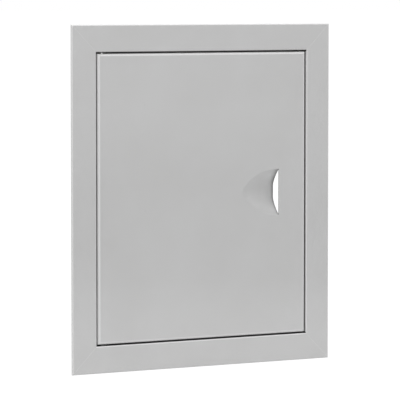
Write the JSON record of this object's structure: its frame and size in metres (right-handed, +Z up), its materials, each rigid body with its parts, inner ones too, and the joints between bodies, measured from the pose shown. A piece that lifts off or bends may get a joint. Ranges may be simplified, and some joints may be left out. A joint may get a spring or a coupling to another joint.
{
  "type": "flush metal access panel",
  "caption": "Flush steel wall access panel: a tray door with a pressed finger scoop, hung on hidden pivots in a mitred picture frame and held shut by magnetic catches.",
  "frame": {"origin": "centre of the opening, in the plane of the wall's face, where the flange's folded edge stands", "axes": "+Z up along the hinge side, +Y into the wall, +X from the hinge side to the latch side as seen from the front"},
  "size_m": [0.306, 0.03, 0.356],
  "materials": {
    "painted_sheet": "satin light grey powder coat on sheet steel",
    "zinc_plate": "bright zinc plate",
    "bright_steel": "drawn bright steel",
    "spring_wire": "oiled spring steel",
    "nylon": "moulded natural nylon",
    "black_acetal": "moulded black acetal, smooth and hard wearing",
    "ferrite": "ground ferrite",
    "black_rubber": "matt moulded rubber"
  },
  "bodies": {
    "frame": {"frame_top_rail": "painted_sheet", "frame_bottom_rail": "painted_sheet", "frame_hinge_rail": "painted_sheet", "frame_latch_rail": "painted_sheet", "corner_gussets": "zinc_plate", "upper_pivot_bush": "black_acetal", "lower_pivot_bush": "black_acetal", "thrust_washer": "black_acetal", "upper_catch_housing": "nylon", "lower_catch_housing": "nylon", "upper_catch_magnet": "ferrite", "lower_catch_magnet": "ferrite", "upper_pole_plates": "bright_steel", "lower_pole_plates": "bright_steel", "catch_screws": "zinc_plate", "door_bumpers": "black_rubber"},
    "door": {"door_leaf": "painted_sheet", "upper_hinge_bracket": "zinc_plate", "lower_hinge_bracket": "zinc_plate", "lower_hinge_pin": "bright_steel", "upper_bracket_rivets": "zinc_plate", "lower_bracket_rivets": "zinc_plate", "pin_spring": "spring_wire"},
    "pin": {"upper_hinge_pin": "bright_steel", "pin_clip": "spring_wire"}
  },
  "joints": [
    {"name": "door_hinge", "type": "hinge", "parent": "frame", "child": "door", "pos_m": [-0.1165, 0.0025, 0], "axis": [0, 0, -1], "range_deg": [0, 110]},
    {"name": "pin_retract", "type": "slide", "parent": "door", "child": "pin", "axis": [0, 0, -1], "range_m": [0, 0.006], "stiffness_N_per_m": 400, "springref_m": -0.006, "deforming": ["pin_spring"]}
  ]
}
